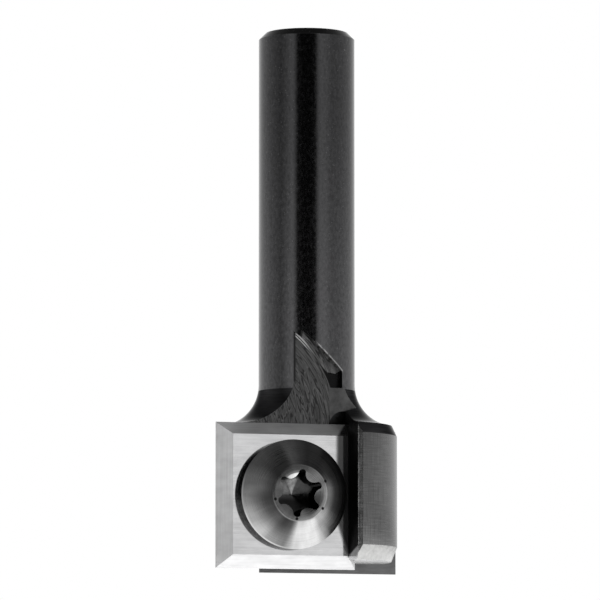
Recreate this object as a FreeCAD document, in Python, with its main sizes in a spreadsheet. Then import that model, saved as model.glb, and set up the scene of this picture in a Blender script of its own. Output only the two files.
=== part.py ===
import FreeCAD, Part
import math
import os

import Sketcher

# Indexable slot mill: a turned steel body with two square reversible knives on opposite seats.
# Frame: +Z along the shank, the axis of the tool is Z, and the knives' lower edges lie at Z = 0.
# The front seat faces -Y. The rear seat, knife and screw are the front ones turned half round Z.
# Lengths are millimetres and angles are degrees.

SIZES = [
    ("overall_length", 45.0, "From the knives' lower edges to the end of the shank"),
    ("shank_diameter", 8.0, "Shank held by the collet"),
    ("shank_chamfer", 0.55, "Chamfer round the end of the shank"),
    ("head_diameter", 15.0, "Turned head that carries the seats"),
    ("head_top", 12.0, "Height at which the flare runs out into the head"),
    ("head_bottom", 0.75, "How far the knives stand out below the head"),
    ("upper_bevel_width", 0.4, "Bevel round the top of the head, across"),
    ("upper_bevel_height", 0.85, "Bevel round the top of the head, along"),
    ("lower_bevel_width", 0.5, "Bevel round the bottom of the head, across"),
    ("lower_bevel_height", 1.2, "Bevel round the bottom of the head, along"),
    ("web_thickness", 6.7, "Between the two seats"),
    ("cutting_diameter", 19.0, "Circle swept by the knives' outer edges"),
    ("knife_size", 12.0, "Side of the square knife at its wide face"),
    ("knife_thickness", 1.5, "Thickness of the knife"),
    ("knife_bevel_angle", 35.0, "Ground bevel, from the normal of the faces"),
    ("knife_hole_diameter", 4.1, "Hole for the screw"),
    ("knife_clearance", 0.06, "Between the knife's inner bevel and the wall that it faces"),
    ("knife_top_clearance", 0.1, "Above the knife's inner upper corner, under the wall"),
    ("wall_inset", 1.16, "From the knife's inner edge back to the foot of the pocket wall"),
    ("wall_lean", 5.0, "Lean of the pocket wall away from the seat's normal"),
    ("wall_land_drop", 0.65, "From the head's radius down to the start of the wall's outer land"),
    ("wall_land_angle", 24.0, "Slope of that land, from the seat's plane"),
    ("cut_overlap", 0.1, "How far one milling cut runs into the next"),
    ("relief_radius", 1.3, "Round relief at the knife's inner upper corner"),
    ("relief_inset", 0.95, "From the knife's inner edge to the relief's centre"),
    ("relief_drop", 0.2, "From the knife's upper edge down to the relief's centre"),
    ("relief_depth", 0.45, "Relief below the seat"),
    ("relief_reach", 0.85, "Relief above the seat, under the wall"),
    ("shoulder_rise", 1.03, "From the knife's upper edge to the cut above the wall, at its foot"),
    ("shoulder_slope", 16.0, "Rise of that cut towards the rim"),
    ("shoulder_start", 1.0, "From the axis to the inner end of that cut"),
    ("shoulder_height", 3.05, "From the top of the head to the upper end of that cut"),
    ("gullet_radius", 10.0, "Radius of the cutter that swept the gullet"),
    ("gullet_offset", 8.35, "From the axis to that cutter's centre"),
    ("gullet_drop", 0.25, "From the top of the head down to that cutter's centre"),
    ("runout_rise", 6.27, "From the top of the head to where the slanting wall crosses the axis"),
    ("runout_angle", 43.0, "Slant of that wall below the horizontal"),
    ("runout_tilt", 8.4, "Slope of the narrow floor along that wall"),
    ("runout_level", 5.85, "From the top of the head to where that floor meets the seat's plane"),
    ("runout_level_offset", 0.48, "From the axis to the same point"),
    ("runout_side", 1.95, "From the axis to the side of the narrow floor"),
    ("screw_diameter", 4.0, "Thread of the screw"),
    ("thread_clearance", 0.1, "Bore over the screw, on the diameter"),
    ("screw_grip", 5.4, "Screw below the seat"),
    ("screw_bore_depth", 5.85, "Blind bore below the seat"),
    ("screw_point_chamfer", 0.4, "Chamfer at the screw's end"),
    ("screw_head_diameter", 9.0, "Head of the screw"),
    ("screw_head_side", 1.04, "Straight side of the head"),
    ("screw_rim_chamfer", 0.1, "Small edge between side and dome"),
    ("screw_dome_rise", 1.5, "Dome above the straight side"),
    ("screw_dome_radius", 9.0, "Curve of the dome's flank"),
    ("screw_flat_diameter", 4.55, "Flat ring on top of the dome"),
    ("socket_mouth_diameter", 3.9, "Mouth of the socket's lead-in"),
    ("socket_lead_depth", 0.28, "Depth of the lead-in"),
    ("socket_point_diameter", 3.66, "Across the six points of the socket"),
    ("socket_waist_diameter", 2.66, "Across the six waists of the socket"),
    ("socket_point_angle", 9.0, "Half the angle that a point of the socket takes up"),
    ("socket_point_bulge", 1.15, "Radius of a point's arc over half its chord"),
    ("socket_turn", 22.0, "Turn of the tightened screw, to its first point"),
    ("socket_depth", 1.9, "Depth of the socket from the top"),
]

doc = FreeCAD.newDocument("SlotMill")
sheet = doc.addObject("Spreadsheet::Sheet", "Sizes")
for row, (alias, value, note) in enumerate(SIZES, start=1):
    sheet.set(f"A{row}", note)
    sheet.set(f"B{row}", str(value))
    sheet.setAlias(f"B{row}", alias)
doc.recompute()

# Places that several pieces share, written from the sizes.
SEAT = "(Sizes.web_thickness / 2)"
HEAD_RADIUS = "(Sizes.head_diameter / 2)"
SHANK_RADIUS = "(Sizes.shank_diameter / 2)"
FLARE_RADIUS = f"({HEAD_RADIUS} - {SHANK_RADIUS})"
OUTER_EDGE = f"(-sqrt((Sizes.cutting_diameter / 2)^2 - {SEAT}^2))"
INNER_EDGE = f"({OUTER_EDGE} + Sizes.knife_size)"
KNIFE_CENTRE = f"({OUTER_EDGE} + Sizes.knife_size / 2)"
KNIFE_MIDDLE = "(Sizes.knife_size / 2)"
WALL_FOOT = f"({INNER_EDGE} - Sizes.wall_inset)"
SHOULDER_FOOT = "(Sizes.knife_size + Sizes.shoulder_rise)"
SHOULDER_TOP = "(Sizes.head_top + Sizes.shoulder_height)"
GULLET_HEIGHT = "(Sizes.head_top - Sizes.gullet_drop)"


def number(expression):
    """Value of an expression in the sizes."""
    return float(sheet.evalExpression(expression.replace("Sizes.", "")))


def origin_feature(body, role):
    """Plane or axis of a body's own origin."""
    return next(part for part in body.Origin.OriginFeatures if part.Role == role)


def new_body(label):
    body = doc.addObject("PartDesign::Body", label)
    body.Label = label
    return body


def new_sketch(body, name, plane, offset="0"):
    """Sketch on a plane of the body's origin, moved along the plane's normal."""
    sketch = body.newObject("Sketcher::SketchObject", name)
    sketch.AttachmentSupport = [(origin_feature(body, plane), "")]
    sketch.MapMode = "FlatFace"
    sketch.setExpression("AttachmentOffset.Base.z", offset)
    return sketch


def fix(sketch, name, kind, expression, *where):
    """Constraint whose value follows an expression."""
    place = sketch.addConstraint(Sketcher.Constraint(kind, *where, number(expression)))
    sketch.renameConstraint(place, name)
    sketch.setExpression(f"Constraints.{name}", expression)


def draw_outline(sketch, corners):
    """Closed outline. A corner is (x, y) for a straight side that ends there, or
    (x, y, radius, turn) for an arc that ends there, which turns left (1) or right (-1)."""
    points = [FreeCAD.Vector(number(c[0]), number(c[1]), 0) for c in corners]
    for i, corner in enumerate(corners):
        start = points[i - 1]
        end = points[i]
        if len(corner) == 2:
            sketch.addGeometry(Part.LineSegment(start, end), False)
        else:
            sketch.addGeometry(arc_between(start, end, number(corner[2]), corner[3]), False)
    for i, corner in enumerate(corners):
        first_end = 1 if len(corner) == 4 and corner[3] < 0 else 2
        following = corners[(i + 1) % len(corners)]
        next_start = 2 if len(following) == 4 and following[3] < 0 else 1
        sketch.addConstraint(
            Sketcher.Constraint("Coincident", i, first_end, (i + 1) % len(corners), next_start)
        )
        fix(sketch, f"x{i}", "DistanceX", corner[0], -1, 1, i, first_end)
        fix(sketch, f"y{i}", "DistanceY", corner[1], -1, 1, i, first_end)
        if len(corner) == 4:
            fix(sketch, f"radius{i}", "Radius", corner[2], i)


def arc_between(start, end, radius, turn):
    """Arc from start to end, as a counter-clockwise arc, with its centre on the turning side."""
    chord = end - start
    left = FreeCAD.Vector(-chord.y, chord.x, 0).normalize()
    rise = math.sqrt(radius**2 - (chord.Length / 2) ** 2)
    centre = (start + end) * 0.5 + left * (turn * rise)
    first, last = (start, end) if turn > 0 else (end, start)
    a0 = math.atan2(first.y - centre.y, first.x - centre.x)
    a1 = math.atan2(last.y - centre.y, last.x - centre.x)
    circle = Part.Circle(centre, FreeCAD.Vector(0, 0, 1), radius)
    return Part.ArcOfCircle(circle, a0, a1 if a1 > a0 else a1 + 2 * math.pi)


def draw_circle(sketch, x, y, radius):
    centre = FreeCAD.Vector(number(x), number(y), 0)
    sketch.addGeometry(Part.Circle(centre, FreeCAD.Vector(0, 0, 1), number(radius)), False)
    fix(sketch, "x", "DistanceX", x, -1, 1, 0, 3)
    fix(sketch, "y", "DistanceY", y, -1, 1, 0, 3)
    fix(sketch, "radius", "Radius", radius, 0)


def revolve(body, name, sketch):
    """Solid turned about the body's Z axis."""
    feature = body.newObject("PartDesign::Revolution", name)
    feature.Profile = sketch
    feature.ReferenceAxis = (origin_feature(body, "Z_Axis"), [""])
    feature.Angle = 360
    return feature


def pocket(body, name, sketch, depth=None, outwards=False):
    """Cut from a sketch, to a depth or through all, against the plane's normal or along it."""
    feature = body.newObject("PartDesign::Pocket", name)
    feature.Profile = sketch
    feature.Reversed = outwards
    if depth is None:
        feature.Type = "ThroughAll"
    else:
        feature.Type = "Length"
        feature.setExpression("Length", depth)
    return feature


# Cutter body

body = new_body("cutter_body")

outline = new_sketch(body, "TurnedOutline", "XZ_Plane")
draw_outline(outline, [
    ("0", "Sizes.head_bottom"),
    (f"{HEAD_RADIUS} - Sizes.lower_bevel_width", "Sizes.head_bottom"),
    (HEAD_RADIUS, "Sizes.head_bottom + Sizes.lower_bevel_height"),
    (HEAD_RADIUS, "Sizes.head_top - Sizes.upper_bevel_height"),
    (
        f"{HEAD_RADIUS} - Sizes.upper_bevel_width",
        f"Sizes.head_top + {FLARE_RADIUS} - sqrt({FLARE_RADIUS}^2 - Sizes.upper_bevel_width^2)",
    ),
    (SHANK_RADIUS, f"Sizes.head_top + {FLARE_RADIUS}", FLARE_RADIUS, -1),
    (SHANK_RADIUS, "Sizes.overall_length - Sizes.shank_chamfer"),
    (f"{SHANK_RADIUS} - Sizes.shank_chamfer", "Sizes.overall_length"),
    ("0", "Sizes.overall_length"),
])
turned = revolve(body, "TurnedBlank", outline)

# The seat and the wall beside it, whose outer edge is broken by a narrow land.
# A sketch on the horizontal plane has Y = -distance from the axis.
outside = "Sizes.cutting_diameter"
land_foot = f"({HEAD_RADIUS} - Sizes.wall_land_drop)"
wall_at_land = f"({WALL_FOOT} + ({land_foot} - {SEAT}) * tan(Sizes.wall_lean))"
seat_outline = new_sketch(body, "SeatOutline", "XY_Plane", f"{SHOULDER_FOOT} + Sizes.cut_overlap")
draw_outline(seat_outline, [
    (f"-{outside}", f"-{SEAT}"),
    (f"-{outside}", f"-{outside}"),
    (f"{wall_at_land} + {outside}", f"-{land_foot} - {outside} * tan(Sizes.wall_land_angle)"),
    (wall_at_land, f"-{land_foot}"),
    (WALL_FOOT, f"-{SEAT}"),
])
seat_cut = pocket(body, "SeatCut", seat_outline)

# The wall is undercut along the knife's inner bevel.
undercut_rise = (
    "((Sizes.wall_inset + Sizes.knife_clearance)"
    " / (tan(Sizes.knife_bevel_angle) + tan(Sizes.wall_lean)))"
)
undercut_outline = new_sketch(
    body, "UndercutOutline", "XY_Plane", "Sizes.knife_size + Sizes.knife_top_clearance"
)
draw_outline(undercut_outline, [
    (WALL_FOOT, f"-{SEAT}"),
    (f"{WALL_FOOT} + {undercut_rise} * tan(Sizes.wall_lean)", f"-{SEAT} - {undercut_rise}"),
    (f"{INNER_EDGE} + Sizes.knife_clearance", f"-{SEAT}"),
])
undercut = pocket(body, "WallUndercut", undercut_outline)

# The gullet above the knife runs out through the flare into the shank, in the seat's plane.
gullet_outline = new_sketch(body, "GulletOutline", "XZ_Plane", SEAT)
draw_circle(gullet_outline, "-Sizes.gullet_offset", GULLET_HEIGHT, "Sizes.gullet_radius")
gullet_cut = pocket(body, "GulletCut", gullet_outline, outwards=True)

shoulder_outline = new_sketch(body, "ShoulderOutline", "XZ_Plane", SEAT)
draw_outline(shoulder_outline, [
    (
        "Sizes.shoulder_start",
        f"{SHOULDER_FOOT} - ({WALL_FOOT} - Sizes.shoulder_start) * tan(Sizes.shoulder_slope)",
    ),
    (
        SHANK_RADIUS,
        f"{SHOULDER_FOOT} + ({SHANK_RADIUS} - {WALL_FOOT}) * tan(Sizes.shoulder_slope)",
    ),
    (SHANK_RADIUS, SHOULDER_TOP),
    ("Sizes.shoulder_start", SHOULDER_TOP),
])
shoulder_cut = pocket(body, "ShoulderCut", shoulder_outline, outwards=True)

# A narrow sloping floor lies between the gullet's arc and the slanting wall at its upper end.
runout_outline = new_sketch(body, "RunoutOutline", "XZ_Plane", SEAT)
runout_outline.setExpression("AttachmentOffset.Base.x", "-Sizes.runout_level_offset")
runout_outline.setExpression("AttachmentOffset.Base.y", "Sizes.head_top + Sizes.runout_level")
slant = math.radians(number("Sizes.runout_angle"))
across_slant = FreeCAD.Vector(math.sin(slant), math.cos(slant), 0)
runout_outline.AttachmentOffset = FreeCAD.Placement(
    runout_outline.AttachmentOffset.Base, FreeCAD.Rotation(across_slant, number("Sizes.runout_tilt"))
)


def in_runout(x, z):
    """Corner of the narrow floor, from its place in the seat's plane."""
    return (f"({x}) + Sizes.runout_level_offset", f"({z}) - Sizes.head_top - Sizes.runout_level")


def on_slant(x):
    return f"Sizes.head_top + Sizes.runout_rise - ({x}) * tan(Sizes.runout_angle)"


inner_arc = "(Sizes.gullet_radius - Sizes.cut_overlap)"
arc_at_shank = f"({GULLET_HEIGHT} + sqrt({inner_arc}^2 - (Sizes.gullet_offset - {SHANK_RADIUS})^2))"
arc_at_shoulder = f"(sqrt({inner_arc}^2 - ({SHOULDER_TOP} - {GULLET_HEIGHT})^2) - Sizes.gullet_offset)"
draw_outline(runout_outline, [
    in_runout(f"-{SHANK_RADIUS}", arc_at_shank) + (inner_arc, 1),
    in_runout(f"-{SHANK_RADIUS}", on_slant(f"-{SHANK_RADIUS}")),
    in_runout("Sizes.runout_side", on_slant("Sizes.runout_side")),
    in_runout("Sizes.runout_side", SHOULDER_TOP),
    in_runout(arc_at_shoulder, SHOULDER_TOP),
])
runout_cut = pocket(body, "RunoutCut", runout_outline, outwards=True)

# Round relief at the knife's inner upper corner, deeper than the seat and reaching under the wall.
relief_outline = new_sketch(body, "ReliefOutline", "XZ_Plane", f"{SEAT} + Sizes.relief_reach")
draw_circle(
    relief_outline,
    f"{INNER_EDGE} - Sizes.relief_inset",
    "Sizes.knife_size - Sizes.relief_drop",
    "Sizes.relief_radius",
)
relief_cut = pocket(body, "CornerRelief", relief_outline, "Sizes.relief_reach + Sizes.relief_depth")

bore_outline = new_sketch(body, "BoreOutline", "XZ_Plane", SEAT)
draw_circle(
    bore_outline, KNIFE_CENTRE, KNIFE_MIDDLE, "(Sizes.screw_diameter + Sizes.thread_clearance) / 2"
)
bore_cut = pocket(body, "ScrewBore", bore_outline, "Sizes.screw_bore_depth")

doc.recompute()
rear_side = body.newObject("PartDesign::PolarPattern", "RearSide")
rear_side.Originals = [
    seat_cut, undercut, gullet_cut, shoulder_cut, runout_cut, relief_cut, bore_cut,
]
rear_side.Axis = (origin_feature(body, "Z_Axis"), [""])
rear_side.Angle = 360
rear_side.Occurrences = 2
body.Tip = rear_side

# Knives and screws are drawn with X across the seat, Y up the tool and Z away from the seat.

FACING = FreeCAD.Rotation(FreeCAD.Vector(1, 0, 0), 90)
HALF_TURN = FreeCAD.Rotation(FreeCAD.Vector(0, 0, 1), 180)


def seat_on(piece, rear):
    """Lay a knife or a screw on the front or the rear seat, at the knife's centre."""
    piece.Placement.Rotation = HALF_TURN.multiply(FACING) if rear else FACING
    side = "-1" if rear else "1"
    piece.setExpression("Placement.Base.x", f"{side} * {KNIFE_CENTRE}")
    piece.setExpression("Placement.Base.y", f"-1 * {side} * {SEAT}")
    piece.setExpression("Placement.Base.z", KNIFE_MIDDLE)


def make_knife(label, rear):
    """Square knife with its wide face on the seat and a ground bevel on each side."""
    knife = new_body(label)
    half = "Sizes.knife_size / 2"
    square = new_sketch(knife, f"{label}_square", "XY_Plane")
    draw_outline(square, [
        (f"-{half}", f"-{half}"),
        (half, f"-{half}"),
        (half, half),
        (f"-{half}", half),
    ])
    plate = knife.newObject("PartDesign::Pad", f"{label}_plate")
    plate.Profile = square
    plate.setExpression("Length", "Sizes.knife_thickness")
    plate.setExpression("TaperAngle", "-Sizes.knife_bevel_angle")
    hole = new_sketch(knife, f"{label}_hole_outline", "XY_Plane", "Sizes.knife_thickness")
    draw_circle(hole, "0", "0", "Sizes.knife_hole_diameter / 2")
    pocket(knife, f"{label}_hole", hole)
    seat_on(knife, rear)
    return knife


def socket_corners():
    """Six points and six waists, each an arc, round the screw's axis."""
    tip = "Sizes.socket_point_diameter / 2"
    point_radius = f"({tip} * sin(Sizes.socket_point_angle) * Sizes.socket_point_bulge)"
    # A waist arc passes through two flanks and the waist circle between them.
    span = f"({tip} * sin(30 - Sizes.socket_point_angle))"
    sag = f"({tip} * cos(30 - Sizes.socket_point_angle) - Sizes.socket_waist_diameter / 2)"
    waist_radius = f"(({span}^2 + {sag}^2) / (2 * {sag}))"
    corners = []
    for k in range(6):
        point = f"{60 * k} + Sizes.socket_turn"
        before = f"({point} - Sizes.socket_point_angle)"
        after = f"({point} + Sizes.socket_point_angle)"
        corners.append((f"{tip} * cos{before}", f"{tip} * sin{before}", waist_radius, -1))
        corners.append((f"{tip} * cos{after}", f"{tip} * sin{after}", point_radius, 1))
    return corners


def make_screw(label, rear):
    """Domed screw with a six-lobe socket. Its zero height is the seat."""
    screw = new_body(label)
    shank = "(Sizes.screw_diameter / 2)"
    head = "(Sizes.screw_head_diameter / 2)"
    shoulder = "(Sizes.knife_thickness + Sizes.screw_head_side)"
    top = f"({shoulder} + Sizes.screw_dome_rise)"
    outline = new_sketch(screw, f"{label}_outline", "XZ_Plane")
    draw_outline(outline, [
        ("0", "-Sizes.screw_grip"),
        (f"{shank} - Sizes.screw_point_chamfer", "-Sizes.screw_grip"),
        (shank, "-Sizes.screw_grip + Sizes.screw_point_chamfer"),
        (shank, "Sizes.knife_thickness"),
        (head, "Sizes.knife_thickness"),
        (head, f"{shoulder} - Sizes.screw_rim_chamfer"),
        (f"{head} - Sizes.screw_rim_chamfer", shoulder),
        ("Sizes.screw_flat_diameter / 2", top, "Sizes.screw_dome_radius", 1),
        ("Sizes.socket_mouth_diameter / 2", top),
        ("Sizes.socket_waist_diameter / 2", f"{top} - Sizes.socket_lead_depth"),
        ("0", f"{top} - Sizes.socket_lead_depth"),
    ])
    revolve(screw, f"{label}_blank", outline)
    socket = new_sketch(screw, f"{label}_socket_outline", "XY_Plane", top)
    draw_outline(socket, socket_corners())
    pocket(screw, f"{label}_socket", socket, "Sizes.socket_depth")
    seat_on(screw, rear)
    return screw


pieces = [body]
for rear, side in ((False, "front"), (True, "rear")):
    pieces.append(make_knife(f"{side}_knife", rear))
    pieces.append(make_screw(f"{side}_knife_screw", rear))

doc.recompute()

failed = [item.Label for item in doc.Objects if "Invalid" in item.State or "Error" in item.State]
if failed:
    raise RuntimeError(f"features not built: {failed}")
for piece in pieces:
    if piece.Shape.isNull() or not piece.Shape.isValid() or len(piece.Shape.Solids) != 1:
        raise RuntimeError(f"{piece.Label} is not one valid solid")

os.makedirs("parts", exist_ok=True)
for piece in pieces:
    piece.Shape.exportStep(os.path.join("parts", f"{piece.Label}.step"))
    print(piece.Label, round(piece.Shape.Volume, 3), piece.Shape.BoundBox)
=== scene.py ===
import math

import bpy
from bpy.props import FloatProperty, FloatVectorProperty, IntProperty, PointerProperty
from bpy.types import Operator, Panel, PropertyGroup
from mathutils import Matrix, Vector


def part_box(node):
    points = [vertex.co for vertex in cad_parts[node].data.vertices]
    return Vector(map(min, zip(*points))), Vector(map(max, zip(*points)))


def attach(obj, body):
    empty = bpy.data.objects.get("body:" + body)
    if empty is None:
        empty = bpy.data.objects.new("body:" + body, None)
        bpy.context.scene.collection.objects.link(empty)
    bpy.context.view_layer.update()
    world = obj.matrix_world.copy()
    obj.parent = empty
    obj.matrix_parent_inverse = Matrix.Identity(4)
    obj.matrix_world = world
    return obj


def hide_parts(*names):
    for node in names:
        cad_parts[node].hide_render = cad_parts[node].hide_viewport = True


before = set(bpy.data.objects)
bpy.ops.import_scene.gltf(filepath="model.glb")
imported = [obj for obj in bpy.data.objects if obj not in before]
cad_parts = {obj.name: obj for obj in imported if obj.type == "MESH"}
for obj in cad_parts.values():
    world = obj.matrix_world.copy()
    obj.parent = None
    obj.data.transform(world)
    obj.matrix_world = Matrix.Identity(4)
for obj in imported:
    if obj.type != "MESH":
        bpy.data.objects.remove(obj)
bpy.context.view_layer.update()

bl_info = {
    "name": "Indexable slot mill",
    "version": (1, 0, 0),
    "blender": (4, 5, 0),
    "location": "3D View > Sidebar > Slot Mill",
    "description": "Dresses a slot mill with its turned body, reversible knives, screws and a pale studio",
    "category": "Add Mesh",
}

# The tool stands on its knives' lower edges. +Z runs up the shank and the front seat faces -Y.
# Seen from its own front, each seat has Across to the right, Out towards the viewer and Up.
MM = 0.001

# Points this near are one point, and faces this near to one plane are one flat
SAME_SPOT = 1e-7
SAME_PLANE = math.radians(0.05)
SHARP_EDGE = math.radians(28)

# How far a cutter runs past the surface that it opens
OVERSHOOT = 1.0 * MM
DRILL_SIDES, SCREW_SIDES, FLOOR_SIDES = 96, 160, 96
SCREW_EDGE_BREAK = 0.05 * MM

# The recess keeps off the narrow floor's side and the shoulder below it
RECESS_INSET, RECESS_LIFT = 0.03 * MM, 0.05 * MM


def length(name, description, millimetres):
    return FloatProperty(
        name=name, description=description, default=millimetres * MM, min=0.0, precision=5, unit="LENGTH"
    )


def angle(name, description, degrees):
    return FloatProperty(
        name=name, description=description, default=math.radians(degrees), subtype="ANGLE", unit="ROTATION"
    )


def colour(name, description, value):
    return FloatVectorProperty(
        name=name, description=description, default=value, size=3, min=0.0, max=1.0, subtype="COLOR"
    )


class BodySizes(PropertyGroup):
    """Sizes of the turned and milled body"""

    overall_length: FloatProperty(
        name="Overall length",
        description="From the knives' lower edges to the end of the shank",
        default=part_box("cutter_body")[1].z,
        unit="LENGTH",
    )
    shank_diameter: length("Shank diameter", "Shank held by the collet", 8.0)
    shank_chamfer: length("Shank chamfer", "Chamfer round the end of the shank", 0.55)
    ground_from: length("Ground from", "Height at which the ground shank meets the turned flare", 14.95)
    head_diameter: length("Head diameter", "Turned head that carries the seats", 15.0)
    head_top: length("Head top", "Height at which the flare runs out into the head", 12.0)
    head_bottom: length("Head bottom", "How far the knives stand out below the head", 0.75)
    upper_bevel_width: length("Upper bevel width", "Bevel round the top of the head", 0.4)
    upper_bevel_height: length("Upper bevel height", "Bevel round the top of the head", 0.85)
    lower_bevel_width: length("Lower bevel width", "Bevel round the bottom of the head", 0.5)
    lower_bevel_height: length("Lower bevel height", "Bevel round the bottom of the head", 1.2)
    edge_break: length("Edge break", "Tiny rounding of the body's edges", 0.035)
    turned_sides: IntProperty(name="Turned sides", description="Sides of a turned form", default=240)


class SeatSizes(PropertyGroup):
    """Sizes of the cuts that make a seat and its gullet"""

    web_thickness: length("Web thickness", "Between the two seats", 6.7)
    cutting_diameter: length("Cutting diameter", "Circle swept by the knives' outer edges", 19.0)
    wall_inset: length("Wall inset", "From the knife's inner edge back to the wall's foot", 1.16)
    wall_lean: angle("Wall lean", "Lean of the wall away from the seat's normal", 5.0)
    wall_land_drop: length("Wall land drop", "From the head's radius to the start of the wall's land", 0.65)
    wall_land_angle: angle("Wall land angle", "Slope of that land", 24.0)
    cut_overlap: length("Cut overlap", "How far one milling cut runs into the next", 0.1)
    relief_radius: length("Relief radius", "Round relief at the knife's inner upper corner", 1.3)
    relief_inset: length("Relief inset", "From the knife's inner edge to the relief's centre", 0.95)
    relief_drop: length("Relief drop", "From the knife's upper edge down to the relief's centre", 0.2)
    relief_depth: length("Relief depth", "Relief below the seat", 0.45)
    relief_reach: length("Relief reach", "Relief above the seat", 0.85)
    shoulder_rise: length("Shoulder rise", "From the knife's upper edge to the cut above the wall", 1.03)
    shoulder_slope: angle("Shoulder slope", "Rise of that cut towards the rim", 16.0)
    shoulder_start: length("Shoulder start", "From the axis to the inner end of that cut", 1.0)
    shoulder_height: length("Shoulder height", "From the head's top to that cut's upper end", 3.05)
    gullet_radius: length("Gullet radius", "Cutter that swept the gullet", 10.0)
    gullet_offset: length("Gullet offset", "From the axis to that cutter's centre", 8.35)
    gullet_drop: length("Gullet drop", "From the head's top down to that cutter's centre", 0.25)
    runout_rise: length("Runout rise", "From the head's top to the slanting wall at the axis", 6.27)
    runout_angle: angle("Runout angle", "Slant of that wall", 43.0)
    runout_tilt: angle("Runout tilt", "Slope of the narrow floor along that wall", 8.4)
    runout_level: length("Runout level", "From the head's top to where that floor meets the seat", 5.85)
    runout_level_offset: length("Runout level offset", "From the axis to the same point", 0.48)
    runout_side: length("Runout side", "From the axis to the side of the narrow floor", 1.95)
    recess_width: length("Recess width", "Dark recess at the foot of the slanting wall", 1.12)
    recess_height: length("Recess height", "The same, upwards", 1.3)
    recess_depth: length("Recess depth", "The same, below the seat", 0.5)
    bore_depth: length("Bore depth", "Screw bore below the seat", 5.85)
    bore_clearance: length("Bore clearance", "Bore over the screw, on the diameter", 0.1)


class KnifeSizes(PropertyGroup):
    """Sizes of the reversible knife and its screw"""

    knife_size: length("Knife size", "Side of the square knife at its wide face", 12.0)
    knife_thickness: length("Knife thickness", "Thickness of the knife", 1.5)
    knife_bevel: angle("Knife bevel", "Ground bevel, from the normal of the faces", 35.0)
    knife_hole: length("Knife hole", "Hole for the screw", 4.1)
    knife_clearance: length("Knife clearance", "Between the knife's inner bevel and the wall", 0.06)
    knife_top_clearance: length("Knife top clearance", "Above the knife's inner upper corner", 0.1)
    edge_break: length("Edge break", "Honed rounding of the knife's edges", 0.012)
    screw_diameter: length("Screw diameter", "Thread of the screw", 4.0)
    screw_grip: length("Screw grip", "Screw below the seat", 5.4)
    screw_point_chamfer: length("Screw point chamfer", "Chamfer at the screw's end", 0.4)
    head_diameter: length("Screw head diameter", "Head of the screw", 9.0)
    head_side: length("Screw head side", "Straight side of the head", 1.04)
    rim_chamfer: length("Rim chamfer", "Small edge between side and dome", 0.1)
    dome_rise: length("Dome rise", "Dome above the straight side", 1.5)
    dome_radius: length("Dome radius", "Curve of the dome's flank", 9.0)
    flat_diameter: length("Flat diameter", "Flat ring on top of the dome", 4.55)
    mouth_diameter: length("Mouth diameter", "Mouth of the socket's lead-in", 3.9)
    lead_depth: length("Lead depth", "Depth of the lead-in", 0.28)
    point_diameter: length("Point diameter", "Across the six points of the socket", 3.66)
    waist_diameter: length("Waist diameter", "Across the six waists of the socket", 2.66)
    point_angle: angle("Point angle", "Half the angle that a point of the socket takes up", 9.0)
    point_bulge: FloatProperty(
        name="Point bulge", description="Radius of a point's arc over half its chord", default=1.15
    )
    socket_turn: angle("Socket turn", "Turn of the tightened screw, to its first point", 22.0)
    socket_depth: length("Socket depth", "Depth of the socket from the top", 1.9)
    drill_point: length("Drill point", "Hollow cone at the socket's bottom", 0.5)


class Finishes(PropertyGroup):
    """Colours of the metals and of the studio"""

    oxide: colour("Ground oxide", "Blackened ground shank", (0.082, 0.082, 0.084))
    flare: colour("Turned oxide", "Blackened turned flare", (0.029, 0.029, 0.03))
    milled: colour("Milled floor", "Blackened milled gullet", (0.062, 0.062, 0.062))
    # The wall's colour is its oxide in painted shade; pocket_oxide lightens it above the knife
    wall: colour("Pocket wall", "Blackened wall beside the knife", (0.008, 0.008, 0.0082))
    rim: colour("Ground rim", "Bare ground head", (0.122, 0.122, 0.122))
    bevel: colour("Lower bevel", "Bright worn bevel below the head", (0.4, 0.4, 0.395))
    lapped: colour("Lapped carbide", "Knife face under the screw's head", (0.53, 0.53, 0.535))
    carbide: colour("Carbide", "Ground bevels of the knife", (0.74, 0.74, 0.745))
    back: colour("Knife back", "Wide face of the knife", (0.12, 0.12, 0.121))
    screw: colour("Screw steel", "Smooth screw head", (0.21, 0.21, 0.21))
    socket: colour("Socket steel", "Pressed socket", (0.062, 0.062, 0.062))
    side: colour("Head side", "Dark side of the screw's head", (0.2, 0.2, 0.2))
    floor: colour("Floor", "Pale studio floor", (0.86, 0.86, 0.86))


# Modelling with the same steps as by hand


def choose(*pieces):
    """Leave edit mode and select only these pieces."""
    if bpy.context.mode != "OBJECT":
        bpy.ops.object.mode_set(mode="OBJECT")
    bpy.ops.object.select_all(action="DESELECT")
    for piece in pieces:
        piece.select_set(True)
        bpy.context.view_layer.objects.active = piece


def edit(piece, select="SELECT"):
    choose(piece)
    bpy.ops.object.mode_set(mode="EDIT")
    bpy.ops.mesh.select_mode(type="VERT")
    bpy.ops.mesh.select_all(action=select)


def settle(piece):
    """Put a piece's place and turn into its mesh."""
    choose(piece)
    bpy.ops.object.transform_apply(location=True, rotation=True, scale=True)
    return piece


def face_outwards(piece):
    edit(piece)
    bpy.ops.mesh.remove_doubles(threshold=SAME_SPOT)
    bpy.ops.mesh.normals_make_consistent(inside=False)
    choose(piece)
    return piece


def arc(start, end, radius, turn, steps):
    """Points after start up to end, on an arc that turns left (1) or right (-1)."""
    chord = Vector(end) - Vector(start)
    left = Vector((-chord.y, chord.x)).normalized()
    rise = math.sqrt(radius**2 - (chord.length / 2) ** 2)
    centre = (Vector(start) + Vector(end)) / 2 + left * turn * rise
    first = Vector(start) - centre
    sweep = 2 * math.asin(chord.length / 2 / radius) * turn
    turns = [Matrix.Rotation(sweep * i / steps, 2) for i in range(1, steps + 1)]
    return [tuple(centre + turned @ first) for turned in turns]


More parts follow.
